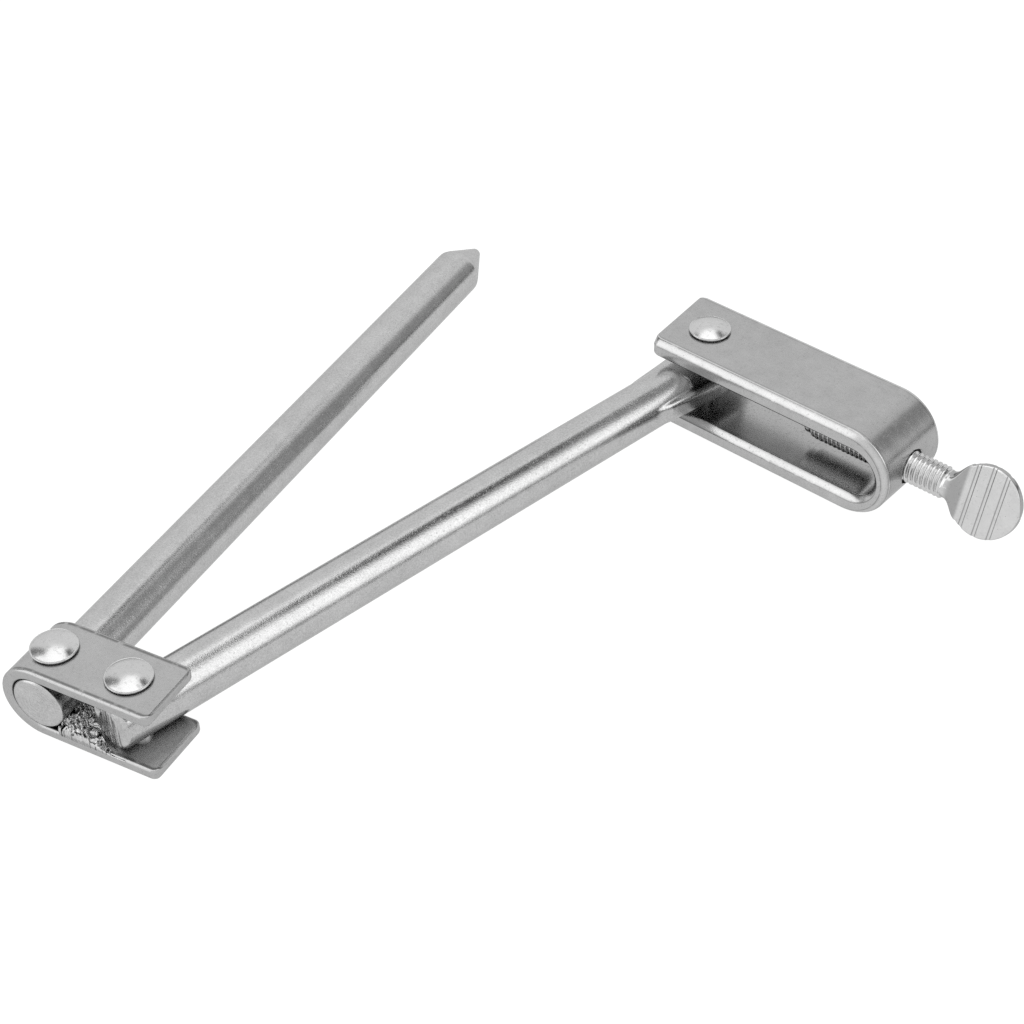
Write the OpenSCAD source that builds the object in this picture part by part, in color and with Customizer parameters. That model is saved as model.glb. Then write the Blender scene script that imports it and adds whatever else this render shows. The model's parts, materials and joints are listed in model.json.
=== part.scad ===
// Drawing compass with a pencil clamp: two round legs in a folded head bracket,
// and a folded clamp with a thumb screw on the end of the pencil leg.
// The point of the compass is the origin, +Y runs out of the point along the point leg,
// +X is the pencil leg's side, and +Z is up, along the rivets.

/* [Rods] */
// Diameter of both legs
rod_d = 8; // [6:0.1:10]
// From the point leg's rivet to the end of its point
point_reach = 115.5; // [80:0.5:160]
// From the full diameter to the cone's virtual apex
cone_len = 8; // [5:0.1:14]
// Radius of the point's blunt nose
nose_r = 0.8; // [0.2:0.05:1.2]
// Chamfer on the point leg's cut end
cut_chamfer = 0.3; // [0.1:0.05:1]
// From the hinge rivet to the clamp rivet
pencil_reach = 108.8; // [75:0.2:150]
// From the hinge rivet to the pencil leg's rounded butt
butt_len = 4.3; // [3.6:0.1:5.5]
// Rounding of the butt's edge
butt_round = 1.2; // [0.4:0.1:2]

/* [Pressed tongue] */
// Thickness of the tongue that enters the clamp
tongue_t = 4; // [3:0.1:6]
// Width of the tongue
tongue_w = 10.8; // [10.2:0.1:14]
// From the clamp rivet to the tongue's end
tongue_end = 6.9; // [6:0.1:8.5]
// Length over which the tongue widens
tongue_flare = 6; // [3:0.1:8]
// Radius of the hollow shoulder between rod and tongue
shoulder_r = 3; // [2:0.1:4]

/* [Head bracket] */
// Width of the strap
head_w = 10.6; // [8:0.1:14]
// Thickness of the strap
head_t = 1.7; // [1:0.05:2.5]
// From the point leg's axis to the open end of the ears
head_reach = 18.4; // [16:0.1:24]
// From the point leg's rivet to the hinge rivet
pivot_gap = 12; // [11.2:0.1:14.4]
// Corner radius of the ears
head_corner = 2.2; // [0.5:0.1:4]

/* [Clamp] */
// Width of the strap
clamp_w = 15.3; // [12:0.1:20]
// Thickness of the ears
clamp_t = 3.4; // [2:0.1:4.5]
// Thickness of the wall where the strap is bent
clamp_bend_t = 2.5; // [1.8:0.1:3.4]
// Gap between the ears, which takes the pencil
clamp_gap = 8.1; // [7.2:0.1:11]
// From the clamp rivet to the open end of the ears
clamp_open = 6.6; // [5:0.1:9]
// From the clamp rivet to the outside of the bend
clamp_reach = 38.2; // [34:0.1:48]
// Corner radius of the ears
clamp_corner = 2.5; // [0.5:0.1:4]

/* [Rivets] */
// Diameter of the shanks
rivet_d = 4; // [3:0.1:5]
// Diameter of the domed heads
rivet_head_d = 6.6; // [6:0.1:8]
// Height of the domed heads
rivet_head_h = 1.3; // [0.8:0.05:2]
// Height of the upright rim under the dome
rivet_rim = 0.25; // [0.1:0.05:0.5]

/* [Thumb screw] */
// Outer diameter of the thread
screw_d = 5; // [4:0.1:6]
// Diameter at the root of the thread
screw_root_d = 4.1; // [3.4:0.1:5]
// Distance between two turns of the thread
screw_pitch = 0.8; // [0.6:0.05:1]
// Length of the threaded shank
screw_len = 24.4; // [20:0.1:30]
// Thread that shows outside the bend
screw_out = 5.8; // [4.5:0.1:8]
// Length of the plain tip
tip_len = 1.2; // [0.8:0.1:2]
// Diameter of the round thumb plate
spade_d = 11.3; // [9:0.1:14]
// Thickness of the thumb plate
spade_t = 1.3; // [1:0.05:2]
// From the end of the thread to the middle of the thumb plate
spade_off = 6.5; // [6:0.1:9]
// Distance between the grip grooves
groove_step = 2.35; // [1.5:0.05:3]
// Width of a grip groove
groove_w = 0.5; // [0.3:0.05:0.8]
// Depth of a grip groove
groove_depth = 0.12; // [0.05:0.01:0.3]

/* [Rest pose] */
// Angle between the two legs
spread = 19.7; // [6:0.1:60]
// Turn of the clamp away from the pencil leg's line
clamp_turn = 83.5; // [60:0.5:120]
// Turn of the thumb plate about the screw
spade_turn = 70; // [0:1:180]

/* [Fits] */
// Radial clearance of a leg on its rivet
pivot_clear = 0.05; // [0.02:0.01:0.1]
// Radial clearance of a rivet in the strap that holds it
seat_clear = 0.02; // [0.01:0.01:0.05]
// Clearance between a rod and each ear of the head
ear_clear = 0.1; // [0.05:0.01:0.3]
// Radial clearance of the screw in the bend
screw_clear = 0.08; // [0.05:0.01:0.1]

/* [Hidden] */
$fn = 96;
far = 200;
head_gap = rod_d + 2 * ear_clear;
head_out = head_gap / 2 + head_t;
clamp_out = clamp_gap / 2 + clamp_t;
cone_half = atan(rod_d / 2 / cone_len);
nose_back = nose_r / sin(cone_half);
apex = point_reach - nose_r + nose_back;
shoulder_y = apex - cone_len;
// The round rod stops outside the circle that the ears' corners sweep
tongue_root = norm([clamp_open, clamp_w / 2]) + 0.4;
round_end = pencil_reach - tongue_root;
tip_at = clamp_reach + screw_out - screw_len;
spade_at = clamp_reach + screw_out + spade_off;
spade_r = spade_d / 2;
neck_w = screw_root_d + 0.3;

// ---- Places -------------------------------------------------------------------------

// The head's frame: the point leg's rivet is its origin
module at_head() translate([0, -point_reach, 0]) children();

// The pencil leg's frame: +X runs along the leg from the hinge rivet
module at_pencil_leg() at_head() translate([pivot_gap, 0, 0]) rotate([0, 0, 90 - spread]) children();

// The clamp's frame: +X runs from the clamp rivet out through the bend
module at_clamp() at_pencil_leg() translate([pencil_reach, 0, 0]) rotate([0, 0, -clamp_turn]) children();

// ---- Shapes that repeat ---------------------------------------------------------------

// Outline of a strap's ears seen from above, with round corners at the open end, x = end
module ear_outline(start, end, width, corner) {
    way = end > start ? 1 : -1;
    translate([min(start, end - way * corner), -width / 2])
        square([abs(end - way * corner - start), width]);
    translate([min(start, end), corner - width / 2]) square([abs(end - start), width - 2 * corner]);
    for (side = [-1, 1]) translate([end - way * corner, side * (width / 2 - corner)]) circle(corner);
}

// Folded strap seen from the side: two ears joined by a round bend that ends at x = 0
module folded_side(length, gap, thick, bend_thick) {
    outer = gap / 2 + thick;
    difference() {
        union() {
            translate([outer, 0]) circle(outer);
            translate([outer, -outer]) square([length - outer, 2 * outer]);
        }
        translate([gap / 2 + bend_thick, 0]) circle(gap / 2);
        translate([gap / 2 + bend_thick, -gap / 2]) square([length, gap]);
    }
}

// Upright pin or hole through everything at the middle of the frame
module upright(d, height = far) cylinder(d = d, h = height, center = true);

// Rivet with a rimmed dome on each side of a strap whose faces are at z = +-face
module rivet(face) {
    upright(rivet_d, 2 * face);
    for (side = [0, 1]) mirror([0, 0, side]) translate([0, 0, face]) rotate_extrude() dome_half();
}

// Half section of a rivet head: upright rim below, shallow arc above
module dome_half() {
    rise = rivet_head_h - rivet_rim;
    arc_r = (pow(rivet_head_d / 2, 2) + pow(rise, 2)) / (2 * rise);
    square([rivet_head_d / 2, rivet_rim]);
    intersection() {
        translate([0, rivet_head_h - arc_r]) circle(arc_r, $fn = 360);
        translate([0, rivet_rim]) square([rivet_head_d / 2, rise + 1]);
    }
}

// Solid turned about the X axis from a half section drawn as (radius, distance along X)
module turned_on_x() rotate([0, 90, 0]) rotate_extrude() children();

// ---- Sub-parts ------------------------------------------------------------------------

// Strap folded round the point leg, with both rivet holes
module head_bracket() color("silver") at_head() difference() {
    intersection() {
        rotate([90, 0, 0]) linear_extrude(head_w, center = true)
            translate([-head_out, 0]) folded_side(head_reach + head_out, head_gap, head_t, head_t);
        linear_extrude(far, center = true) ear_outline(-far, head_reach, head_w, head_corner);
    }
    for (x = [0, pivot_gap]) translate([x, 0, 0]) upright(rivet_d + 2 * seat_clear);
}

// Round leg with a conical point, cut off flush with the strap
module point_leg() color("lightgray") at_head() difference() {
    rotate([-90, 0, 0]) rotate_extrude() {
        polygon([[0, -head_w / 2], [rod_d / 2 - cut_chamfer, -head_w / 2],
            [rod_d / 2, cut_chamfer - head_w / 2], [rod_d / 2, shoulder_y],
            [nose_r * cos(cone_half), apex - nose_back + nose_r * sin(cone_half)],
            [0, apex - nose_back + nose_r * sin(cone_half)]]);
        intersection() {
            translate([0, apex - nose_back]) circle(nose_r);
            translate([0, apex - nose_back]) square(nose_r);
        }
    }
    upright(rivet_d + 2 * seat_clear);
}

module point_leg_rivet() color("gainsboro") at_head() rivet(head_out);

module hinge_rivet() color("gainsboro") at_head() translate([pivot_gap, 0, 0]) rivet(head_out);

// Round rod of the pencil leg, with a rounded butt, up to where the tongue begins
module pencil_rod() {
    turned_on_x() {
        translate([0, butt_round - butt_len]) square([rod_d / 2, butt_len - butt_round + pencil_reach]);
        translate([0, -butt_len]) square([rod_d / 2 - butt_round, butt_len]);
        translate([rod_d / 2 - butt_round, butt_round - butt_len]) circle(butt_round);
    }
}

// Everything that pressing takes off one side of the rod: the flat and the hollow shoulder
// The hollow's box runs on into the flat's, so that no skin is left between the two
module pressed_side() {
    translate([round_end + shoulder_r, 0, tongue_t / 2])
        translate([0, -far / 2, 0]) cube([far, far, far]);
    intersection() {
        translate([round_end + shoulder_r, 0, tongue_t / 2 + shoulder_r])
            rotate([90, 0, 0]) cylinder(r = shoulder_r, h = far, center = true);
        translate([round_end, -far / 2, tongue_t / 2]) cube([2 * shoulder_r, far, far]);
    }
    translate([round_end, -far / 2, tongue_t / 2 + shoulder_r]) cube([far, far, far]);
}

// Flat tongue seen from above: it widens from the rod and ends in a half circle
module tongue_outline() {
    end_x = pencil_reach + tongue_end - tongue_w / 2;
    polygon([[round_end, -rod_d / 2], [round_end + tongue_flare, -tongue_w / 2], [end_x, -tongue_w / 2],
        [end_x, tongue_w / 2], [round_end + tongue_flare, tongue_w / 2], [round_end, rod_d / 2]]);
    translate([end_x, 0]) circle(tongue_w / 2);
}

// Round leg whose far end is pressed into a flat tongue
module pencil_leg() color("silver") at_pencil_leg() difference() {
    union() {
        difference() {
            pencil_rod();
            for (side = [0, 1]) mirror([0, 0, side]) pressed_side();
        }
        linear_extrude(tongue_t, center = true) tongue_outline();
    }
    for (x = [0, pencil_reach]) translate([x, 0, 0]) upright(rivet_d + 2 * pivot_clear);
}

// Thick folded strap with the pencil slot, the rivet holes and the screw hole
module clamp_bracket() color("silver") at_clamp() difference() {
    intersection() {
        rotate([90, 0, 0]) linear_extrude(clamp_w, center = true)
            translate([clamp_reach, 0]) mirror([1, 0])
                folded_side(clamp_reach + clamp_open, clamp_gap, clamp_t, clamp_bend_t);
        linear_extrude(far, center = true) ear_outline(far, -clamp_open, clamp_w, clamp_corner);
    }
    upright(rivet_d + 2 * seat_clear);
    translate([clamp_reach - clamp_out, 0, 0]) rotate([0, 90, 0])
        cylinder(d = screw_d + 2 * screw_clear, h = far);
}

module clamp_rivet() color("gainsboro") at_clamp() rivet(clamp_out);

// Plain end of the screw, which presses on the pencil
module screw_tip() color("gainsboro") at_clamp() turned_on_x() translate([0, tip_at])
    polygon([[0, 0], [screw_root_d / 2 - 0.4, 0], [screw_root_d / 2, 0.4],
        [screw_root_d / 2, tip_len], [0, tip_len]]);

// Half section of the threaded shank: one ridge for each turn on a solid core
module shank_half() {
    turns = floor((screw_len - tip_len) / screw_pitch);
    translate([0, tip_at + tip_len]) square([screw_root_d / 2, screw_len - tip_len + spade_off - spade_r]);
    for (turn = [0 : turns - 1]) translate([0, tip_at + tip_len + turn * screw_pitch])
        polygon([[0, 0], [screw_root_d / 2, 0], [screw_d / 2, 0.42 * screw_pitch],
            [screw_d / 2, 0.58 * screw_pitch], [screw_root_d / 2, screw_pitch], [0, screw_pitch]]);
}

// Thumb plate: its outline seen from the flat, cut to a wedge that thins into the plate
module thumb_plate() {
    thread_end = clamp_reach + screw_out;
    wedge_end = spade_at - spade_r * 0.6;
    rotate([spade_turn, 0, 0]) difference() {
        intersection() {
            linear_extrude(far, center = true) {
                translate([spade_at, 0]) circle(spade_r);
                polygon([[thread_end, -neck_w / 2], [wedge_end, -spade_r * 0.8], [wedge_end, spade_r * 0.8],
                    [thread_end, neck_w / 2]]);
            }
            rotate([90, 0, 0]) linear_extrude(far, center = true)
                polygon([[thread_end, -neck_w / 2], [wedge_end, -spade_t / 2], [spade_at + far, -spade_t / 2],
                    [spade_at + far, spade_t / 2], [wedge_end, spade_t / 2], [thread_end, neck_w / 2]]);
        }
        for (step = [-1 : 1], side = [-1, 1])
            translate([spade_at + step * groove_step, 0, side * spade_t / 2])
                cube([groove_w, far, 2 * groove_depth], center = true);
    }
}

// Threaded shank and thumb plate, made from one piece with the tip
module thumb_screw() color("gainsboro") at_clamp() {
    turned_on_x() shank_half();
    thumb_plate();
}

head_bracket();
point_leg();
point_leg_rivet();
hinge_rivet();
pencil_leg();
clamp_bracket();
clamp_rivet();
screw_tip();
thumb_screw();
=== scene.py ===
"""Looks of the drawing compass: its straps, legs, rivets and thumb screw, with their metal finishes."""
import json
import math

import bpy
import numpy as np
from mathutils import Matrix, Vector


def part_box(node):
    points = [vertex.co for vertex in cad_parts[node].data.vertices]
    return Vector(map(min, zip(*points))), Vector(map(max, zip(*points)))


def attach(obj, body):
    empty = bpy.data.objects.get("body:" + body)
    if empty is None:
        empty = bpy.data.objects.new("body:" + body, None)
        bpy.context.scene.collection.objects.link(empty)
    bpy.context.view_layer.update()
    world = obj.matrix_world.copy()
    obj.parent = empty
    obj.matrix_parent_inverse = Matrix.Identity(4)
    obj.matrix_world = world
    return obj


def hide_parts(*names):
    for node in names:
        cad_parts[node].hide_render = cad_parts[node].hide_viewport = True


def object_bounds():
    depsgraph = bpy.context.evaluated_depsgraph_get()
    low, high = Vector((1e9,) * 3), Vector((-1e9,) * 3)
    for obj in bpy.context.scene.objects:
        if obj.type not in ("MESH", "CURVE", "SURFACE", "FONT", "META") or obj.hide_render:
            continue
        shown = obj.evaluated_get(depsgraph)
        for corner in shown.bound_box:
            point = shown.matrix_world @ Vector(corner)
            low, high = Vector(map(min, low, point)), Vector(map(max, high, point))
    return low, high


bl_info = {
    "name": "Drawing Compass",
    "version": (1, 0, 0),
    "blender": (4, 5, 0),
    "location": "View3D > Sidebar > Compass",
    "description": "Builds a steel drawing compass with a hinged pencil clamp on its packed frame",
    "category": "Add Mesh",
}

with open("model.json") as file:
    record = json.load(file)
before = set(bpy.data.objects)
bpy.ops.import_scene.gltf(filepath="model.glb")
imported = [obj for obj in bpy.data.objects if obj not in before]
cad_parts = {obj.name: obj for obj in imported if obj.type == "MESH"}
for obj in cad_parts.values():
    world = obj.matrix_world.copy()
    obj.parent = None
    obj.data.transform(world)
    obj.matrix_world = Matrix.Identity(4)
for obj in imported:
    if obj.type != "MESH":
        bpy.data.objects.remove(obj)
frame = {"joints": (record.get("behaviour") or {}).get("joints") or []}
CAD_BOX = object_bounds()
MM = 0.001
EAST, NORTH, UP = np.eye(3)


# ---- Places, read from the frame ---------------------------------------------------------

def joint(name):
    """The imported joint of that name."""
    return next(j for j in frame["joints"] if j["name"] == name)


def span(node):
    """Lowest and highest corner of a CAD node as arrays, in millimetres."""
    low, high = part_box(node)
    return np.array(low) / MM, np.array(high) / MM


def middle(node):
    """Middle of a CAD node's box, in millimetres."""
    low, high = span(node)
    return (low + high) / 2


HEAD_PIN = middle("point_leg_rivet")
LEG_PIN = np.array(joint("leg_hinge")["pos_m"]) / MM
CLAMP_PIN = np.array(joint("clamp_hinge")["pos_m"]) / MM
LEG_LENGTH = float(np.linalg.norm(CLAMP_PIN - LEG_PIN))
LEG_WAY = (CLAMP_PIN - LEG_PIN) / LEG_LENGTH
SCREW_WAY = np.array(joint("screw_travel")["axis"])
SCREW_WAY = SCREW_WAY / np.linalg.norm(SCREW_WAY)
SCREW_START = float((np.array(joint("screw_turn")["pos_m"]) / MM - CLAMP_PIN) @ SCREW_WAY)
ROD_R = float(span("point_leg")[1][2])
HEAD_FACE = round(float(span("head_bracket")[1][2]), 3)
CLAMP_FACE = round(float(span("clamp_bracket")[1][2]), 3)
# Walls, half widths and reach of the two straps, and the length over which the clamp's skew dies away
HEAD_WALL = 1.7
HEAD_HALF_W = 5.3
CLAMP_WALL = 3.4
CLAMP_BEND_WALL = 2.5
CLAMP_HALF_W = 7.65
CLAMP_REACH = 38.2
SKEW_LENGTH = 14.0
# Turn of the pencil leg at its far limit, in degrees about the upright
LEG_LIMIT = min(joint("leg_hinge")["range_deg"]) * joint("leg_hinge")["axis"][2]


def placed(points, origin, way):
    """Local millimetres to metres in the frame: x runs along way, z stays up, y makes it right-handed."""
    side = np.cross(UP, way)
    axes = np.stack([way, side, UP])
    return (points @ axes + origin) * MM


# ---- Settings a user would change ----------------------------------------------------------

# A metal's pattern lightens its tint by up to this factor, so no tint is above one over it
SHADE_TOP = 1.6
PALEST = 1 / SHADE_TOP

# Soft boxes add to the studio's level, and dark flags take a share of it. Each has its strength, then
# its lowest and highest azimuth, and height, and how soft those edges are, in degrees
SOFT_BOXES = ((0.72, (-74, -28, 5), (6, 60, 5)),
              (0.85, (84, 117, 4), (13, 54, 4)))
DARK_FLAGS = ((0.62, (121, 148, 5), (2, 52, 4)),
              (0.95, (124, 170, 4), (53, 68, 3)),
              (0.80, (-100, -77, 4), (14, 62, 4)),
              (0.85, (70, 160, 10), (-5, 5, 2)))


def length(name, description, default, low=0.0, high=0.05):
    """A length setting, in metres."""
    return bpy.props.FloatProperty(name=name, description=description, default=default, min=low,
                                   max=high, precision=5, subtype="DISTANCE", unit="LENGTH")


def share(name, description, default, low=0.0, high=1.0):
    """A setting without a unit, from 0 to 1 unless it says otherwise."""
    return bpy.props.FloatProperty(name=name, description=description, default=default, min=low,
                                   max=high, subtype="FACTOR")


def grey(name, description, default, high=PALEST):
    """A linear colour setting that starts as a grey."""
    return bpy.props.FloatVectorProperty(name=name, description=description, default=(default,) * 3, size=3,
                                         min=0.0, max=high, subtype="COLOR")


class CompassSizes(bpy.types.PropertyGroup):
    """Sizes of the visible pieces."""

    head_edge: length("Head edge", "Width of the broken edge along the head strap", 0.00036)
    clamp_edge: length("Clamp edge", "Width of the broken edge along the clamp strap", 0.00098)
    clamp_skew: length("Clamp skew", "How much further the clamp's far corner reaches", 0.0013)
    rivet_head: length("Rivet head", "Diameter of a rivet's domed head", 0.0066)
    rivet_height: length("Rivet height", "Height of a rivet's domed head", 0.0013)
    thread_pitch: length("Thread pitch", "Distance between two turns of the screw's thread", 0.0008)
    thread_depth: length("Thread depth", "Depth of the screw's thread", 0.00045)
    plate_radius: length("Thumb plate radius", "Radius of the screw's round thumb plate", 0.00565)
    plate_thickness: length("Thumb plate thickness", "Thickness of the screw's thumb plate", 0.0013)
    groove_depth: length("Groove depth", "Depth of the grip grooves on the thumb plate", 0.00014)
    plate_turn: bpy.props.FloatProperty(
        name="Thumb plate turn", description="Turn of the thumb plate about the screw at rest",
        default=math.radians(70), subtype="ANGLE", unit="ROTATION")


class CompassFinish(bpy.types.PropertyGroup):
    """Colours and finish of the metals."""

    rod: grey("Rod", "Reflected colour of the round legs", 0.50)
    strap: grey("Head strap", "Reflected colour of the head strap", 0.43)
    clamp: grey("Clamp strap", "Reflected colour of the clamp strap", 0.42)
    rivet: grey("Rivet", "Reflected colour of the rivets", 0.57)
    screw: grey("Screw", "Reflected colour of the thumb screw", PALEST)
    plate: grey("Thumb plate", "Reflected colour of the thumb plate", PALEST)
    flash: grey("Flash", "Reflected colour of the crumpled flash", PALEST)
    rod_roughness: share("Rod roughness", "Roughness of the legs", 0.17)
    strap_roughness: share("Strap roughness", "Roughness of the head strap", 0.24)
    clamp_roughness: share("Clamp roughness", "Roughness of the clamp strap", 0.22)
    pit_depth: length("Pit depth", "Depth of the fine pits in the legs", 0.000016)


class CompassStudio(bpy.types.PropertyGroup):
    """Camera, floor and light."""

    lens: bpy.props.FloatProperty(name="Lens", description="Focal length of the camera", default=72.03,
                                  min=10.0, max=300.0, subtype="DISTANCE_CAMERA", unit="CAMERA")
    distance: length("Distance", "From the camera to the compass", 0.29793, high=5.0)
    azimuth: bpy.props.FloatProperty(name="Azimuth", description="Where the camera stands round the compass",
                                     default=math.radians(28.601), subtype="ANGLE", unit="ROTATION")
    elevation: bpy.props.FloatProperty(name="Elevation", description="Height of the camera over the floor",
                                       default=math.radians(40.485), subtype="ANGLE", unit="ROTATION")
    roll: bpy.props.FloatProperty(name="Roll", description="Turn of the camera about its view",
                                  default=math.radians(-1.046), subtype="ANGLE", unit="ROTATION")
    floor_glow: share("Floor glow", "Light that the floor gives off by itself", 0.97)
    floor_colour: grey("Floor", "Colour of the floor", 0.10, high=1.0)


# ---- Surfaces worked out with numpy ----------------------------------------------------------

def skin(name, rings, marks=None):
    """Smooth closed mesh over rings of points, shape (rings, points around, 3) in metres. Neighbouring
    rings are joined by quads, and a fan to the ring's mean point closes each end. Each entry of marks
    holds one number for each point, kept as an attribute of that name. The faces are turned outwards if
    the volume comes out negative."""
    count, around = rings.shape[:2]
    i, j = np.meshgrid(np.arange(count - 1), np.arange(around), indexing="ij")
    k = (j + 1) % around
    corners = [i * around + j, i * around + k, (i + 1) * around + k, (i + 1) * around + j]
    quads = np.stack(corners, -1).reshape(-1, 4)
    points = np.concatenate([rings.reshape(-1, 3), rings[:1].mean(1), rings[-1:].mean(1)])
    a = np.arange(around)
    b = (a + 1) % around
    first, last = count * around, (count - 1) * around
    caps = np.concatenate([np.stack([b, a, np.full(around, first)], -1),
                           np.stack([last + a, last + b, np.full(around, first + 1)], -1)])
    tris = np.concatenate([quads[:, :3], quads[:, [0, 2, 3]], caps])
    p = points[tris] - points.mean(0)
    if np.einsum("ij,ij->", p[:, 0], np.cross(p[:, 1], p[:, 2])) < 0:
        quads, caps = quads[:, ::-1], caps[:, ::-1]
    mesh = bpy.data.meshes.new(name)
    mesh.from_pydata(points.tolist(), [], quads.tolist() + caps.tolist())
    mesh.update()
    for mark, values in (marks or {}).items():
        values = np.concatenate([values.ravel(), [values[0].mean(), values[-1].mean()]]).astype(np.float32)
        mesh.attributes.new(mark, "FLOAT", "POINT").data.foreach_set("value", values)
    mesh.polygons.foreach_set("use_smooth", np.full(len(mesh.polygons), True))
    piece = bpy.data.objects.new(name, mesh)
    bpy.context.scene.collection.objects.link(piece)
    return piece


def turned(profile, around=96):
    """Rings of a turned shape: each profile row (radius, distance) becomes a circle about the local x
    axis."""
    a = np.linspace(0, 2 * np.pi, around, endpoint=False)
    r, s = profile[:, 0, None], profile[:, 1, None]
    return np.stack(np.broadcast_arrays(s, r * np.cos(a), r * np.sin(a)), -1)


def arc(centre, radius, start, end, count):
    """Points (across, along) on a circle's arc between two angles in degrees."""
    a = np.radians(np.linspace(start, end, count))
    return np.stack([centre[0] + radius * np.cos(a), centre[1] + radius * np.sin(a)], -1)


def smooth(x):
    """Smooth step: 3 x squared minus 2 x cubed, held between 0 and 1."""
    x = np.clip(x, 0, 1)
    return x * x * (3 - 2 * x)


def edged_section(half_w, half_t, cut_w, cut_t, power, steps=9):
    """Section of a flat bar with broken edges, for each row of half_w and half_t. Each corner is a
    quarter of a superellipse, cut_w wide and cut_t high: with power 2 it is an ellipse and near 1 a
    chamfer. Gives the points across (w) and through (t): four on each half of a flat, then the
    corner's."""
    a = np.linspace(0, np.pi / 2, steps)
    sin_p, cos_p = np.sin(a) ** (2 / power), np.cos(a) ** (2 / power)
    cut_w, cut_t = np.minimum(cut_w, half_w), np.minimum(cut_t, half_t)
    flat = np.maximum(half_w - cut_w, 0)
    inset = np.minimum(np.array([0.9, 0.5, 0.3, 0.12]), flat * 0.9)
    w = np.concatenate([flat - inset, half_w - cut_w + cut_w * sin_p], 1)
    t = np.concatenate([np.broadcast_to(half_t, inset.shape), half_t - cut_t + cut_t * cos_p], 1)
    w = np.concatenate([w, w[:, ::-1], -w, -w[:, ::-1]], 1)
    t = np.concatenate([t, -t[:, ::-1], -t, t[:, ::-1]], 1)
    return w, t


def round_section(quarter, count):
    """The numbers of one quarter of an edged section, repeated for its four quarters and for every
    ring."""
    quarter = np.array(quarter)
    return np.broadcast_to(np.concatenate([quarter, quarter[::-1]] * 2), (count, 4 * len(quarter)))


def folded_strap(open_x, outer, inner, half_width, corner, cut, end_cut, power, skew=0.0):
    """Rings of a strap folded into two ears. The path runs from the open end along the upper ear, round
    the bend and back along the lower ear. outer and inner are (centre x, radius) of the bend's two faces,
    and at every station the section lies between the two faces' points. Towards an open end the half
    width follows the corner's circle, and the thickness the broken edge. skew moves the open end along x
    in step with the place across."""
    way = np.sign(open_x - outer[0])
    reach = abs(open_x - outer[0])
    ear = np.concatenate([end_cut * (1 - np.cos(np.linspace(0, np.pi / 2, 8))),
                          np.linspace(end_cut, corner, 10)[1:], np.linspace(corner, reach, 30)[1:]])
    bend = np.linspace(0, 180, 82)[1:-1]
    turn = np.radians(np.concatenate([np.zeros(len(ear)), bend, np.full(len(ear), 180.0)]))
    run = np.concatenate([ear, np.full(len(bend), reach), ear[::-1]])

    def face(centre, radius):
        ear_x = open_x + (centre - open_x) * run / reach
        return np.stack([ear_x - way * radius * np.sin(turn), radius * np.cos(turn)], -1)

    out_p, in_p = face(*outer), face(*inner)
    mid, gap = (out_p + in_p) / 2, out_p - in_p
    thick = np.linalg.norm(gap, axis=1)
    normal = gap / thick[:, None]
    to_end = run[:, None]
    near = np.clip(corner - to_end, 0, corner)
    half_w = half_width - corner + np.sqrt(corner ** 2 - near ** 2)
    drop = np.clip(1 - to_end / end_cut, 0, 1)
    half_t = thick[:, None] / 2 - end_cut * (1 - (1 - drop ** power) ** (1 / power))
    w, t = edged_section(half_w, half_t, cut, cut, power)
    x = mid[:, 0, None] + normal[:, 0, None] * t
    z = mid[:, 1, None] + normal[:, 1, None] * t
    x = x + way * skew * 0.5 * w / half_width * smooth(1 - to_end / SKEW_LENGTH)
    return np.stack([x, w, z], -1)


def rivet_profile(face, head_r, height):
    """Half outline of a rivet from its lower pole to its upper one, as (radius, height): a shallow dome,
    a small rolled rim and a narrower collar under it, then the shank, and the same again mirrored."""
    shank_r, roll_r, roll_up = 2.0, 0.16, 0.32
    rise = height - 0.42
    flat_r = head_r - 0.1
    dome_r = (flat_r ** 2 + rise ** 2) / (2 * rise)
    half = math.degrees(math.asin(flat_r / dome_r))
    top = arc((0, face + height - dome_r), dome_r, 89.9, 90 - half, 22)
    rim = arc((head_r - roll_r, face + roll_up), roll_r, 62, -90, 10)
    collar_r = head_r - 0.42
    collar = np.array([[head_r - 0.35, face + 0.15], [collar_r, face + 0.1], [collar_r, face - 0.05],
                       [shank_r, face - 0.06], [shank_r, face - 0.6]])
    upper = np.concatenate([top, rim, collar])
    return np.concatenate([upper, upper[::-1] * [1, -1]])


def point_leg_profile(radius, butt, shoulder, tip, nose):
    """Outline of the pointed leg as (radius, distance): a flat end with shallow turning rings, a small
    chamfer, the plain rod, a slightly eased shoulder, the cone and a round nose. Distances run from the
    butt towards the point."""
    ring_r = np.linspace(0.02, radius - 0.45, 90)
    ripple = 0.014 * np.sin(ring_r * 11.0) * smooth(ring_r) + 0.01 * np.sin(ring_r * 27.0)
    face = np.stack([ring_r, butt + ripple], -1)
    chamfer = np.array([[radius - 0.36, butt], [radius - 0.3, butt + 0.02], [radius - 0.05, butt + 0.24],
                        [radius, butt + 0.34], [radius, butt + 0.6]])
    rod = np.stack([np.full(24, radius), np.linspace(butt + 3, shoulder - 1, 24)], -1)
    half = math.atan2(radius, tip - shoulder)
    ease = np.array([[radius, shoulder - 0.3], [radius - 0.03, shoulder - 0.05],
                     [radius - 0.12, shoulder + 0.14]])
    nose_at = tip - nose / math.sin(half)
    cone_end = nose_at + nose * math.sin(half)
    cone = np.linspace([radius - 0.3, shoulder + 0.3 / math.tan(half)], [nose * math.cos(half), cone_end], 12)
    angles = np.linspace(half, math.radians(89.5), 10)
    round_end = np.stack([nose * np.cos(angles), nose_at + nose * np.sin(angles)], -1)
    return np.concatenate([face, chamfer, rod, ease, cone, round_end])


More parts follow.
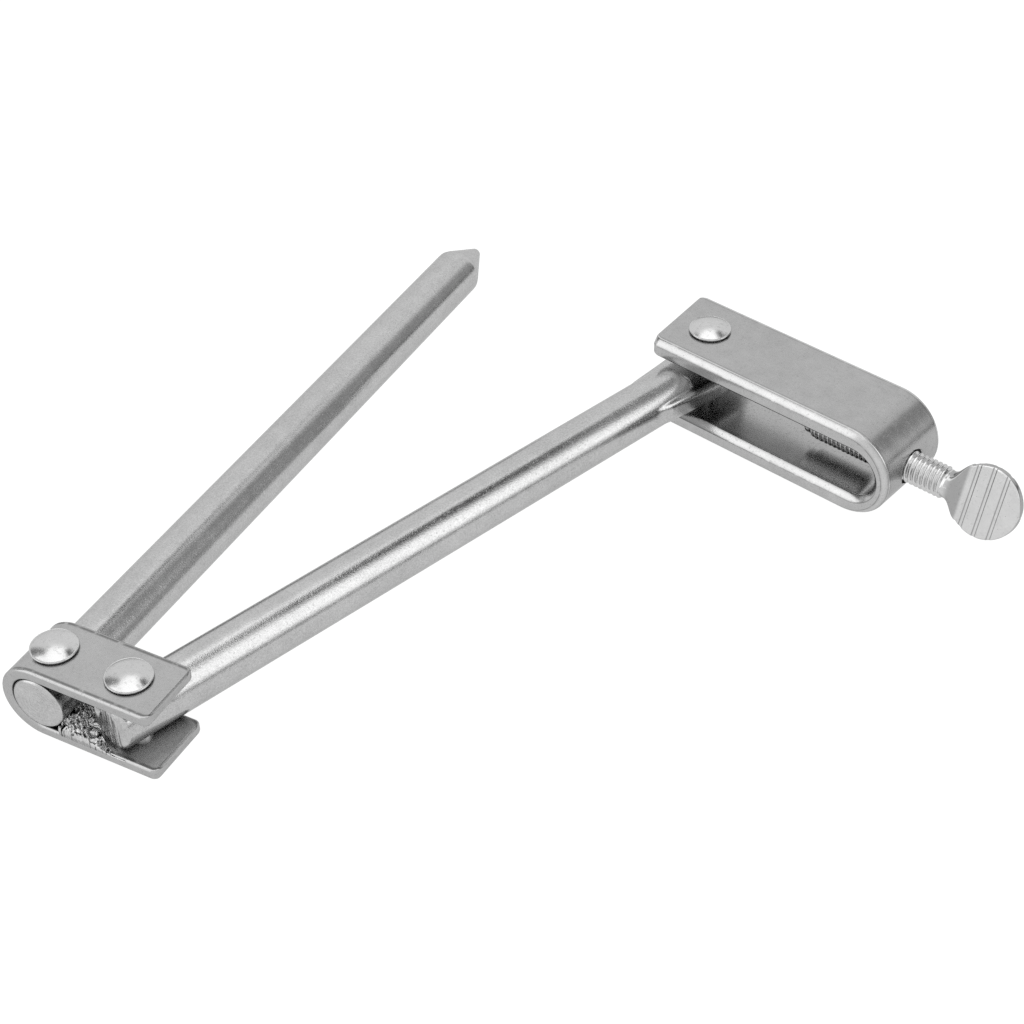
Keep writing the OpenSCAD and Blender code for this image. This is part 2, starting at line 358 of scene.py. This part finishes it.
def pencil_leg_rings(radius, reach):
    """Rings of the pencil leg about the local x axis. At distance x from the hinge and angle a, the
    surface lies at the larger of two radii. One is the round rod, which ends in a hollow shoulder, a
    quarter of a circle seen from the side and rounded like a finger tip seen from above. The other is the
    flat tongue, a superellipse whose half width grows along the flare and then follows the round end. The
    butt is a flat face with a rounded rim and a notch pressed into one side. The second result is
    painted shade in the notch, with the streaks of the butt face beside it."""
    butt, rim = 4.3, 1.2
    half_tongue_w, half_tongue_t, end_at = 5.4, 2.0, reach + 1.5
    flare_at, narrow_at = reach - 17.8, reach - 5.2
    shoulder_r, face_count = 3.1, 16
    face = np.linspace(0.03, 0.97, face_count)
    x = np.concatenate([np.full(face_count, -butt),
                        -butt + rim * (1 - np.cos(np.linspace(0.0, np.pi / 2, 16))),
                        np.linspace(0.2 + rim - butt, flare_at - 1, 40),
                        np.linspace(flare_at - 0.6, narrow_at - 0.1, 150),
                        np.linspace(narrow_at + 0.2, end_at, 16),
                        end_at + half_tongue_w * np.sin(np.linspace(0.08, np.pi / 2 - 0.06, 24))])[:, None]
    a = np.linspace(0, 2 * np.pi, 180, endpoint=False)[None]
    cos, sin = np.cos(a), np.sin(a)
    near = np.clip(rim - (x + butt), 0, rim)
    rod = radius - rim + np.sqrt(rim ** 2 - near ** 2)
    rod[:face_count, 0] *= face
    start = reach - 8.1 - 4.0 * np.abs(cos) ** 8 - 0.3 * cos
    into = np.clip((x - start) / 2.6, 0, 1)
    height = half_tongue_t - 0.1 + shoulder_r * (1 - np.sqrt(1 - (1 - into) ** 2))
    height = np.where(x > start, height, np.inf)
    rod = np.minimum(rod, height / np.maximum(np.abs(sin), 0.02))
    rod = np.where(x > narrow_at, np.minimum(rod, 3.0), rod)
    half_w = np.interp(x, [flare_at, reach - 12.4, reach - 4.6, reach - 2.4],
                       [3.3, 4.4, 5.16, half_tongue_w])
    end_w = np.sqrt(np.maximum(half_tongue_w ** 2 - (x - end_at) ** 2, 0.01))
    half_w = np.where(x > end_at, end_w, half_w)
    tongue = (np.abs(cos / half_w) ** 5 + np.abs(sin / half_tongue_t) ** 5) ** (-1 / 5)
    tongue = np.where(x > flare_at, tongue, 0.0)
    r = (rod ** 60 + tongue ** 60) ** (1 / 60)
    streaks = np.sin(r * cos * 4.1 + 0.7 * np.sin(r * sin * 0.9)) + 0.6 * np.sin(r * cos * 9.7 + 1.0)
    notch = np.exp(-((r * cos - 2.1) / 0.5) ** 2 - ((r * sin - 1.5) / 0.75) ** 2)
    on_face = smooth((-3.6 - x) / 0.7)
    ridge = (0.022 * streaks + 1.0 * notch) * on_face
    # Painted shade in the pressed notch, with the streaks of the butt face
    notch_shade_and_streaks = np.clip(1.5 * notch + 0.16 * streaks, 0, 1) * on_face
    return np.stack(np.broadcast_arrays(x + ridge, r * cos, r * sin), -1), notch_shade_and_streaks


def burr_rings(pin, foot, limit):
    """Rings of the crumpled flash between the legs: at each x a closed loop runs over the top along y and
    back at the foot. The top is a sum of folded waves, the size of a sine's value along several scattered
    directions. Its height is held under a ceiling that is low within reach of the turning leg's end,
    higher beyond it, and falls to none under the leg at its limit. The second result is painted shade
    in the hollows."""
    rng = np.random.default_rng(23)
    near_reach, far_reach, rod_r, high_up = 4.55, 6.15, 4.0, 3.95
    x, y = np.meshgrid(np.linspace(2.9, 13.5, 200), np.linspace(-5.35, 1.2, 124), indexing="ij")
    turn, phase = rng.uniform(0, np.pi, 9), rng.uniform(0, 6, 9)
    rate = np.array([1.6, 2.2, 2.8, 3.5, 4.4, 5.5, 7.0, 9.0, 12.0])
    bend = 0.5 * np.sin(1.7 * x + 0.9 * y) + 0.4 * np.sin(2.3 * y - 1.1 * x)
    across = x[..., None] * np.cos(turn) + y[..., None] * np.sin(turn)
    fold = np.abs(np.sin(rate * (across + bend[..., None]) + phase))
    top = (fold / rate ** 0.6).sum(-1)
    top = (top - top.min()) / (top.max() - top.min())
    clear = np.hypot(x - pin, y)
    along = (x - pin) * limit[0] + y * limit[1]
    aside = np.abs((x - pin) * limit[1] - y * limit[0])
    ceiling = 0.95 * smooth((clear - near_reach) / 0.2) + 1.0 * smooth((clear - far_reach) / 0.8)
    ceiling = ceiling * smooth((4.4 - np.abs(y + 1.2)) / 0.4) * smooth((12.8 - x + 0.6 * bend) / 1.5)
    room = high_up - np.sqrt(rod_r ** 2 - np.minimum(aside, rod_r) ** 2)
    ceiling = np.where(along > -3, np.clip(room, 0, ceiling), ceiling)
    sunk = 0.1
    up = np.stack([x, y, foot - sunk + sunk * smooth(ceiling / 0.15) + top * ceiling], -1)
    under = np.stack([x, y, np.full_like(x, foot - 0.25)], -1)[:, ::-1]
    # Painted shade: the flash is darker in its hollows, where the top is low
    hollow = smooth((0.56 - top) / 0.2)
    mark = np.concatenate([hollow, hollow[:, ::-1]], 1)
    return np.concatenate([up, under], 1), mark


def thread_rings(start, end, core, depth, pitch, around=64, per_turn=10):
    """Rings of a right-handed thread about the local x axis. The radius rises from the core to a narrow
    crest and falls again once for each pitch, and the phase of that wave is distance over pitch minus
    angle over a full turn. Over the last turn at each end the thread runs out into the core."""
    s = np.linspace(start, end, int((end - start) / pitch * per_turn))[:, None]
    a = np.linspace(0, 2 * np.pi, around, endpoint=False)[None]
    wave = np.abs(((s / pitch - a / (2 * np.pi)) % 1.0) * 2 - 1)
    crest = np.clip(wave * 1.35 - 0.1, 0, 1)
    fade = smooth((s - start) / pitch) * smooth((end - s) / pitch)
    r = core + depth * crest * fade
    return np.stack(np.broadcast_arrays(s, r * np.cos(a), r * np.sin(a)), -1)


def thumb_plate_rings(start, centre, radius, thickness, groove, turn):
    """Rings of the thumb plate about the local x axis. The section changes from a circle at the neck to a
    thin bar with broken edges. Its half width flares to the plate's circle, its half thickness falls in a
    straight wedge, and three shallow grooves dip it. Near the free end the broken edge takes the
    thickness down. The second result is painted shade on the grooves' walls, the rim and the wedge's
    end."""
    neck_r, edge, edge_drop = 2.15, 0.24, 0.3
    wedge, end = centre - 0.6 * radius, centre + radius
    s = np.unique(np.concatenate([np.linspace(start, wedge, 40), np.linspace(wedge, end - 0.6, 190),
                                  end - 0.6 + 0.598 * np.sin(np.linspace(0, np.pi / 2, 16))]))[:, None]
    part = smooth((s - start - 0.2) / (wedge - start - 0.2))
    disc_w = np.sqrt(np.maximum(radius ** 2 - (s - centre) ** 2, 0.0004))
    flare = neck_r + (0.8 * radius - neck_r) * part ** 1.5
    half_w = np.where(s < wedge, flare, disc_w)
    ramp = np.clip((s - start - 0.5) / (wedge - start - 0.5), 0, 1)
    half_t = neck_r + (thickness / 2 - neck_r) * ramp
    wall = np.zeros_like(s)
    for step in (-2.4, 0.0, 2.35):
        off = np.abs(s - centre - step)
        half_t = half_t - groove * smooth((0.34 - off) / 0.14)
        wall = wall + np.exp(-((off - 0.27) / 0.075) ** 2)
    drop = np.clip(1 - (end - s) / edge, 0, 1)
    half_t = half_t - edge_drop * (1 - np.sqrt(1 - drop ** 2))
    cut_w = neck_r + (edge - neck_r) * part
    cut_t = neck_r + (edge_drop - neck_r) * part
    w, t = edged_section(half_w, half_t, np.minimum(cut_w, half_w), np.minimum(cut_t, half_t), 2.0)
    # Painted shade on the grooves' walls, the rim and the end of the wedge
    rim = round_section([0, 0, 0, 0, 0, 0, 0, 0.2, 0.5, 0.7, 0.7, 0.7, 0.7], len(s))
    bevel = 0.8 * (1 - smooth((s - wedge + 0.5) / 0.5)) * smooth((s - start - 0.3) / 1.2)
    plate_shade = np.maximum(np.maximum(wall, rim), bevel)
    y = -w * math.cos(turn) - t * math.sin(turn)
    z = -w * math.sin(turn) + t * math.cos(turn)
    return np.stack(np.broadcast_arrays(s, y, z), -1), plate_shade


# ---- Metals --------------------------------------------------------------------------------

class Value:
    """A number that a node gives. Sums, products and so on of values add Math nodes."""

    def __init__(self, nodes, socket):
        self.nodes, self.socket = nodes, socket

    def _with(self, operation, *terms):
        """The value of a Math node with that operation and those terms."""
        made = self.nodes.add("ShaderNodeMath", {"operation": operation}, dict(enumerate(terms)))
        return Value(self.nodes, made.outputs[0])

    def __add__(self, other):
        return self._with("ADD", self, other)

    __radd__ = __add__

    def __mul__(self, other):
        return self._with("MULTIPLY", self, other)

    __rmul__ = __mul__

    def __sub__(self, other):
        return self._with("SUBTRACT", self, other)

    def __rsub__(self, other):
        return self._with("SUBTRACT", other, self)

    def __truediv__(self, other):
        return self._with("DIVIDE", self, other)

    def __rtruediv__(self, other):
        return self._with("DIVIDE", other, self)

    def direction_from(self, other):
        """Angle of the direction that runs this far across and the other value along, in degrees."""
        return self._with("ARCTAN2", self, other) * (180 / math.pi)

    def slope(self):
        """Angle whose sine is this value, in degrees."""
        held = self._with("MAXIMUM", self._with("MINIMUM", self, 1.0), -1.0)
        return self._with("ARCSINE", held) * (180 / math.pi)

    def step(self, low, high):
        """Smooth step from 0 at low to 1 at high."""
        made = self.nodes.add("ShaderNodeMapRange", {"interpolation_type": "SMOOTHSTEP", "clamp": True},
                              {"Value": self, "From Min": low, "From Max": high})
        return Value(self.nodes, made.outputs[0])

    def between(self, low, high, soft):
        """1 between low and high, falling to 0 over soft on each side."""
        return self.step(low - soft, low + soft) * (1 - self.step(high - soft, high + soft))


class Nodes:
    """A node tree that is filled through add."""

    def __init__(self, tree):
        self.tree = tree
        tree.nodes.clear()

    def add(self, kind, settings=None, sockets=None):
        """A node of that kind. Its settings are set first, and then each socket gets a value or a
        link."""
        made = self.tree.nodes.new(kind)
        for key, value in (settings or {}).items():
            setattr(made, key, value)
        for key, value in (sockets or {}).items():
            target = made.inputs[key]
            if isinstance(value, Value):
                self.tree.links.new(value.socket, target)
            elif isinstance(value, bpy.types.NodeSocket):
                self.tree.links.new(value, target)
            else:
                target.default_value = value
        return made

    def value(self, node, name):
        return Value(self, node.outputs[name])

    def noise(self, place, scale, detail=3.0, rough=0.55, warp=0.0):
        """Fractal noise from 0 to 1 at that many features for each metre."""
        made = self.add("ShaderNodeTexNoise", {"noise_dimensions": "3D"},
                        {"Vector": place, "Scale": scale, "Detail": detail, "Roughness": rough,
                         "Distortion": warp})
        return self.value(made, "Fac")

    def mark(self, name):
        """The mesh attribute of that name."""
        return self.value(self.add("ShaderNodeAttribute", {"attribute_name": name}), "Fac")

    def stretched(self, place, origin, way, along, across):
        """The place measured along a direction and across it, each times its own factor, as a vector."""
        turn = math.atan2(way[1], way[0])
        made = self.add("ShaderNodeMapping", {"vector_type": "TEXTURE"},
                        {"Vector": place, "Location": tuple(float(v) * MM for v in origin),
                         "Rotation": (0.0, 0.0, turn), "Scale": (1.0 / along, 1.0 / across, 1.0 / across)})
        return made.outputs["Vector"]


def metal(name, tint, rough, origin, way, pits=0.000008, mottle=0.12, streak=0.05, sparkle=0.35,
          line=0.0, edge=0.0, fine=2600.0, dirt=0.0, broken_shade=True):
    """Plated steel: tint varies with soft blotches and fine grain, roughness with blotches and drawn
    streaks along way, and fine pits and grain give the bump. The darkening attribute is painted shade
    by burrs, creases, hollows and recesses, broken into patches by noise on some pieces; the edge
    attribute lightens the tint as a painted highlight on the broken edges; and dirt darkens random
    patches. No channel of tint is above PALEST."""
    material = bpy.data.materials.new(name)
    material.use_nodes = True
    n = Nodes(material.node_tree)
    place = n.add("ShaderNodeTexCoord").outputs["Object"]
    blotch = n.noise(place, 420.0, 4.0, 0.6)
    cloud = n.noise(place, 95.0, 3.0, 0.5)
    grain = n.noise(place, fine, 3.0, 0.7)
    glint = n.noise(place, fine * 2.1, 2.0, 0.6)
    drawn = n.noise(n.stretched(place, origin, way, 45.0, 1500.0), 1.0, 3.0, 0.6)
    speck = n.noise(place, fine * 1.3, 1.0, 0.5).step(0.58, 0.74)
    shade = 1.0 + (blotch - 0.5) * mottle * 1.6 + (cloud - 0.5) * mottle + (drawn - 0.5) * streak
    shade = shade + (grain + glint - 1.0) * sparkle * 0.5 - speck * 0.12
    # Painted shade: the darkening attribute takes the tint down by burrs, creases, hollows and recesses
    if line:
        shade_breaks = n.noise(place, 700.0, 3.0, 0.6).step(0.3, 0.5) if broken_shade else 1.0
        shade = shade * (1 - n.mark("line") * shade_breaks * line)
    # Painted highlight: the edge attribute lifts the tint along the broken edges
    if edge:
        shade = shade * (1 + n.mark("edge") * edge)
    if dirt:
        shade = shade * (1 - n.noise(place, 260.0, 5.0, 0.7, 0.5).step(0.5, 0.72) * dirt)
    palest = (*(float(channel) * SHADE_TOP for channel in tint), 1.0)
    mixed = n.add("ShaderNodeMix", {"data_type": "RGBA", "blend_type": "MIX", "clamp_factor": True},
                  {"Factor": shade / SHADE_TOP, "A": (0.0, 0.0, 0.0, 1.0), "B": palest})
    roughness = rough + (blotch - 0.5) * 0.12 + (drawn - 0.5) * 0.10 + speck * 0.12
    height = grain * 0.5 + glint * 0.8 + blotch * 0.5 - speck * 0.25
    bump = n.add("ShaderNodeBump", None, {"Strength": 1.0, "Distance": pits, "Height": height})
    shader = n.add("ShaderNodeBsdfPrincipled", None,
                   {"Base Color": mixed.outputs["Result"], "Metallic": 1.0, "Roughness": roughness,
                    "Specular Tint": (0.75, 0.75, 0.75, 1.0), "Normal": bump.outputs["Normal"]})
    n.add("ShaderNodeOutputMaterial", None, {"Surface": shader.outputs["BSDF"]})
    return material


def finished(piece, body, slot, material, *nodes):
    """Gives a piece its metal and its body, and hides the CAD nodes it stands for. Its slot is not used."""
    if not len(piece.data.polygons):
        raise RuntimeError(piece.name + " came out empty")
    piece.data.materials.clear()
    piece.data.materials.append(material)
    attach(piece, body)
    if nodes:
        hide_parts(*nodes)
    return piece


def cut_away(piece, tool):
    """Takes the tool's volume out of the piece and removes the tool."""
    made = piece.modifiers.new("cut", "BOOLEAN")
    made.operation, made.solver, made.object = "DIFFERENCE", "EXACT", tool
    bpy.context.view_layer.update()
    result = bpy.data.meshes.new_from_object(piece.evaluated_get(bpy.context.evaluated_depsgraph_get()))
    piece.modifiers.clear()
    old, piece.data = piece.data, result
    bpy.data.meshes.remove(old)
    bpy.data.objects.remove(tool)
    if not len(result.polygons):
        raise RuntimeError("the cut left nothing of " + piece.name)
    result.set_sharp_from_angle(angle=math.radians(38))


# ---- Operators -----------------------------------------------------------------------------

class COMPASS_OT_head_strap(bpy.types.Operator):
    """Strap folded round the pointed leg"""

    bl_idname = "compass.head_strap"
    bl_label = "Head Strap"

    def execute(self, context):
        sizes, finish = context.scene.compass_sizes, context.scene.compass_finish
        open_x = span("head_bracket")[1][0]
        inner_r = HEAD_FACE - HEAD_WALL
        rings = folded_strap(open_x, (0.0, HEAD_FACE), (0.0, inner_r), HEAD_HALF_W, corner=1.0,
                             cut=sizes.head_edge / MM, end_cut=0.3, power=1.5)
        # Painted shade: a dark line near each edge of the flats, where the burr casts its shadow
        burr_shade = round_section([0, 0, 0.8, 1, 0.3, 0, 0, 0, 0, 0, 0, 0, 0], len(rings))
        inside = np.hypot(rings[..., 2], np.minimum(rings[..., 0], 0)) < inner_r + 0.05
        # Painted shade on the inner face, deepening towards the bend and under the rod
        line = np.maximum(burr_shade, inside * 0.9 * smooth((8.5 - rings[..., 0]) / 3.5))
        piece = skin("head_strap", placed(rings, HEAD_PIN * [1, 1, 0], EAST), {"line": line})
        metal_here = metal("zinc_strap", finish.strap, finish.strap_roughness, HEAD_PIN, (1, 0),
                           pits=0.000010, mottle=0.12, streak=0.04, sparkle=0.3, line=0.6, fine=2200.0)
        finished(piece, "head", "strap", metal_here, "head_bracket")
        turn = math.radians(LEG_LIMIT)
        limit = (LEG_WAY[0] * math.cos(turn) - LEG_WAY[1] * math.sin(turn),
                 LEG_WAY[0] * math.sin(turn) + LEG_WAY[1] * math.cos(turn))
        folds, hollow = burr_rings(LEG_PIN[0] - HEAD_PIN[0], -inner_r, limit)
        flash = skin("flash_burr", placed(folds, HEAD_PIN * [1, 1, 0], EAST), {"line": hollow})
        bright = metal("torn_flash", finish.flash, 0.12, HEAD_PIN, (1, 0), pits=0.000010, mottle=0.3,
                       line=0.93, fine=1500.0, broken_shade=False)
        finished(flash, "head", "strap", bright)
        return {"FINISHED"}


class COMPASS_OT_legs(bpy.types.Operator):
    """Round leg with the point, and round leg with the flat tongue"""

    bl_idname = "compass.legs"
    bl_label = "Legs"

    def execute(self, context):
        finish = context.scene.compass_finish
        low, high = span("point_leg")
        nose_r, past_nose, shoulder = 1.0, 1.2, 108.5
        apex = high[1] - HEAD_PIN[1] + past_nose
        profile = point_leg_profile(ROD_R, low[1] - HEAD_PIN[1], shoulder, apex, nose_r)
        point = skin("point_leg_rod", placed(turned(profile), HEAD_PIN * [1, 1, 0], NORTH))
        rings, notch_shade_and_streaks = pencil_leg_rings(ROD_R, LEG_LENGTH)
        pencil = skin("pencil_leg_rod", placed(rings, LEG_PIN, LEG_WAY), {"line": notch_shade_and_streaks})
        # The last entry of each row is the strength of the painted shade, laid only on the pencil leg's butt
        for piece, body, node, way, origin, line in (
                (point, "head", "point_leg", NORTH, HEAD_PIN, 0.0),
                (pencil, "pencil_arm", "pencil_leg", LEG_WAY, LEG_PIN, 0.9)):
            metal_here = metal("plated_" + node, finish.rod, finish.rod_roughness, origin, way,
                               pits=finish.pit_depth, mottle=0.18, streak=0.14, sparkle=1.15, line=line,
                               fine=3000.0, broken_shade=False)
            finished(piece, body, "rod", metal_here, node)
        return {"FINISHED"}


class COMPASS_OT_rivets(bpy.types.Operator):
    """The three domed rivets"""

    bl_idname = "compass.rivets"
    bl_label = "Rivets"

    def execute(self, context):
        sizes, finish = context.scene.compass_sizes, context.scene.compass_finish
        polished = metal("polished_rivet", finish.rivet, 0.22, HEAD_PIN, (1, 0), pits=0.000008, mottle=0.12,
                         streak=0.0, sparkle=0.2, fine=1500.0)
        for name, body, node, pin, face in (
                ("point_rivet", "head", "point_leg_rivet", HEAD_PIN, HEAD_FACE),
                ("hinge_pin_rivet", "head", "hinge_rivet", LEG_PIN, HEAD_FACE),
                ("clamp_pin_rivet", "clamp", "clamp_rivet", CLAMP_PIN, CLAMP_FACE)):
            rings = turned(rivet_profile(face, sizes.rivet_head / MM / 2, sizes.rivet_height / MM))
            upright = rings[..., [1, 2, 0]]
            piece = skin(name, placed(upright, pin * [1, 1, 0], EAST))
            finished(piece, body, "rivet", polished, node)
        return {"FINISHED"}


class COMPASS_OT_clamp_strap(bpy.types.Operator):
    """Thick strap that holds the pencil, with its hole for the screw"""

    bl_idname = "compass.clamp_strap"
    bl_label = "Clamp Strap"

    def execute(self, context):
        sizes, finish = context.scene.compass_sizes, context.scene.compass_finish
        inner_r, open_x = CLAMP_FACE - CLAMP_WALL, -6.25
        outer = (CLAMP_REACH - CLAMP_FACE, CLAMP_FACE)
        inner = (CLAMP_REACH - inner_r - CLAMP_BEND_WALL, inner_r)
        rings = folded_strap(open_x, outer, inner, CLAMP_HALF_W, corner=1.3, cut=sizes.clamp_edge / MM,
                             end_cut=0.3, power=1.2, skew=sizes.clamp_skew / MM)
        # Painted shade: dark lines along some of the section's edges; painted highlight: the edge marks
        # lighten the broken edges
        marks = {"line": round_section([0, 0, 0.6, 0, 0, 0.7, 0.3, 0, 0, 0, 0.2, 1, 0], len(rings)),
                 "edge": round_section([0, 0, 0, 1.6, 1.6, 0.2, 0.7, 1, 1.2, 1.2, 0.8, 0, 0.5], len(rings))}
        piece = skin("clamp_strap", placed(rings, CLAMP_PIN, SCREW_WAY), marks)
        hole_r, rim_r, inside, outside = 2.8, 3.3, CLAMP_REACH - 10.2, CLAMP_REACH + 3.0
        hole = np.array([[0.01, inside], [hole_r, inside], [hole_r, CLAMP_REACH - 0.45],
                         [rim_r, CLAMP_REACH + 0.12], [rim_r, outside], [0.01, outside]])
        cut_away(piece, skin("hole_tool", placed(turned(hole, 72), CLAMP_PIN, SCREW_WAY)))
        metal_here = metal("nickel_clamp", finish.clamp, finish.clamp_roughness, CLAMP_PIN, SCREW_WAY,
                           pits=0.000008, mottle=0.16, streak=0.05, sparkle=0.32, line=0.45, edge=0.24,
                           fine=2400.0, dirt=0.05)
        finished(piece, "clamp", "clamp_strap", metal_here, "clamp_bracket")
        return {"FINISHED"}


class COMPASS_OT_thumb_screw(bpy.types.Operator):
    """Thumb screw: plain tip, threaded shank and round thumb plate"""

    bl_idname = "compass.thumb_screw"
    bl_label = "Thumb Screw"

    def execute(self, context):
        sizes, finish = context.scene.compass_sizes, context.scene.compass_finish
        bright = metal("bright_screw", finish.screw, 0.14, CLAMP_PIN, SCREW_WAY, pits=0.000006, mottle=0.1,
                       streak=0.02, sparkle=0.2, fine=1800.0)
        core, tip_length, start_gap, end, plate_at = 2.05, 1.2, 0.03, 44.0, 6.5
        start = SCREW_START + tip_length
        tip = np.array([[0.01, SCREW_START], [1.2, SCREW_START], [1.6, SCREW_START + 0.02],
                        [1.7, SCREW_START + 0.07], [2.0, SCREW_START + 0.36], [core, SCREW_START + 0.46],
                        [core, start]])
        tip_piece = skin("screw_plain_tip", placed(turned(tip, 64), CLAMP_PIN, SCREW_WAY))
        finished(tip_piece, "screw_end", "screw", bright, "screw_tip")
        thread = thread_rings(start + start_gap, end + 0.4, core, sizes.thread_depth / MM,
                              sizes.thread_pitch / MM)
        shank = skin("screw_thread", placed(thread, CLAMP_PIN, SCREW_WAY))
        finished(shank, "screw", "screw", bright)
        rings, plate_shade = thumb_plate_rings(end - 0.2, end + plate_at, sizes.plate_radius / MM,
                                        sizes.plate_thickness / MM, sizes.groove_depth / MM,
                                        sizes.plate_turn)
        plate = skin("thumb_plate", placed(rings, CLAMP_PIN, SCREW_WAY), {"line": plate_shade})
        pale = metal("pale_plate", finish.plate, 0.17, CLAMP_PIN, SCREW_WAY, pits=0.000006, mottle=0.1,
                     streak=0.02, sparkle=0.2, line=0.5, fine=1800.0, broken_shade=False)
        finished(plate, "screw", "screw", pale, "thumb_screw")
        return {"FINISHED"}


class COMPASS_OT_stage(bpy.types.Operator):
    """Pale floor, soft studio light and the camera"""

    bl_idname = "compass.stage"
    bl_label = "Floor, Light and Camera"

    def execute(self, context):
        studio = context.scene.compass_studio
        self.floor(studio, float(CAD_BOX[0][2]))
        self.light(context.scene)
        self.camera(context.scene, studio)
        return {"FINISHED"}

    def floor(self, studio, level):
        """A wide square under the compass. It glows, so that its shadows stay faint, and less so in
        reflections."""
        size, reflected = 3.0, 0.87
        mesh = bpy.data.meshes.new("floor")
        mesh.from_pydata([(-size, -size, level), (size, -size, level), (size, size, level),
                          (-size, size, level)], [], [(0, 1, 2, 3)])
        plane = bpy.data.objects.new("floor", mesh)
        bpy.context.scene.collection.objects.link(plane)
        material = bpy.data.materials.new("pale_floor")
        material.use_nodes = True
        n = Nodes(material.node_tree)
        dim, pale = (n.add("ShaderNodeBsdfPrincipled", None, {
            "Base Color": (*studio.floor_colour, 1.0), "Roughness": 1.0, "Specular IOR Level": 0.0,
            "Emission Color": (1.0, 1.0, 1.0, 1.0), "Emission Strength": studio.floor_glow * part})
            for part in (reflected, 1.0))
        seen = n.add("ShaderNodeLightPath").outputs["Is Camera Ray"]
        both = n.add("ShaderNodeMixShader", None, {0: seen, 1: dim.outputs["BSDF"], 2: pale.outputs["BSDF"]})
        n.add("ShaderNodeOutputMaterial", None, {"Surface": both.outputs["Shader"]})
        mesh.materials.append(material)

    def light(self, scene):
        """An even white surround with soft boxes and dark flags in it, set by direction."""
        world = bpy.data.worlds.new("studio")
        world.use_nodes = True
        scene.world = world
        n = Nodes(world.node_tree)
        way = n.add("ShaderNodeTexCoord").outputs["Generated"]
        split = n.add("ShaderNodeSeparateXYZ", None, {0: way})
        x, y, z = (n.value(split, k) for k in "XYZ")
        azimuth, height = x.direction_from(0 - y), z.slope()
        level = 1.0 + 0.78 * height.step(54, 70)
        for strength, across, up in SOFT_BOXES:
            level = level + strength * azimuth.between(*across) * height.between(*up)
        for strength, across, up in DARK_FLAGS:
            level = level * (1 - strength * azimuth.between(*across) * height.between(*up))
        seen = n.value(n.add("ShaderNodeLightPath"), "Is Camera Ray")
        strength = level * (1 - seen) + seen
        glow = n.add("ShaderNodeBackground", None, {"Color": (1.0, 1.0, 1.0, 1.0), "Strength": strength})
        n.add("ShaderNodeOutputWorld", None, {"Surface": glow.outputs["Background"]})
        scene.view_settings.view_transform = "Standard"
        scene.view_settings.look = "None"

    def camera(self, scene, studio):
        """Looks at a point beside the middle of the compass from the set azimuth and elevation."""
        lens = bpy.data.cameras.new("camera")
        lens.lens, lens.sensor_width = studio.lens, 36.0
        lens.clip_start, lens.clip_end = 0.01, 50.0
        holder = bpy.data.objects.new("camera", lens)
        scene.collection.objects.link(holder)
        az, el, roll = studio.azimuth, studio.elevation, studio.roll
        forward = Vector((-math.sin(az) * math.cos(el), math.cos(az) * math.cos(el), -math.sin(el)))
        right = Vector((math.cos(az), math.sin(az), 0.0))
        up = right.cross(forward)
        right, up = (right * math.cos(roll) + up * math.sin(roll),
                     up * math.cos(roll) - right * math.sin(roll))
        target = Vector((0.03744, -0.05791, 0.0))
        turn = Matrix((right, up, -forward)).transposed().to_4x4()
        holder.matrix_world = Matrix.Translation(target - forward * studio.distance) @ turn
        scene.camera = holder


class COMPASS_PT_panel(bpy.types.Panel):
    """Sidebar panel that lists the builders and their settings"""

    bl_idname = "COMPASS_PT_panel"
    bl_label = "Drawing Compass"
    bl_space_type = "VIEW_3D"
    bl_region_type = "UI"
    bl_category = "Compass"

    def draw(self, context):
        for builder in BUILDERS:
            self.layout.operator(builder.bl_idname)
        scene = context.scene
        for group in (scene.compass_sizes, scene.compass_finish, scene.compass_studio):
            box = self.layout.box()
            for key in group.__annotations__:
                box.prop(group, key)


BUILDERS = (COMPASS_OT_head_strap, COMPASS_OT_legs, COMPASS_OT_rivets, COMPASS_OT_clamp_strap,
            COMPASS_OT_thumb_screw, COMPASS_OT_stage)
CLASSES = (CompassSizes, CompassFinish, CompassStudio, *BUILDERS, COMPASS_PT_panel)


def register():
    """Registers the classes and puts the settings on the scene."""
    for c in CLASSES:
        bpy.utils.register_class(c)
    bpy.types.Scene.compass_sizes = bpy.props.PointerProperty(type=CompassSizes)
    bpy.types.Scene.compass_finish = bpy.props.PointerProperty(type=CompassFinish)
    bpy.types.Scene.compass_studio = bpy.props.PointerProperty(type=CompassStudio)


def unregister():
    """Takes the settings and classes away again."""
    del bpy.types.Scene.compass_sizes
    del bpy.types.Scene.compass_finish
    del bpy.types.Scene.compass_studio
    for c in reversed(CLASSES):
        bpy.utils.unregister_class(c)


def main():
    """Builds every piece in turn."""
    register()
    for builder in BUILDERS:
        group, name = builder.bl_idname.split(".")
        if getattr(getattr(bpy.ops, group), name)() != {"FINISHED"}:
            raise RuntimeError(builder.bl_label + " did not finish")


if __name__ == "__main__":
    main()
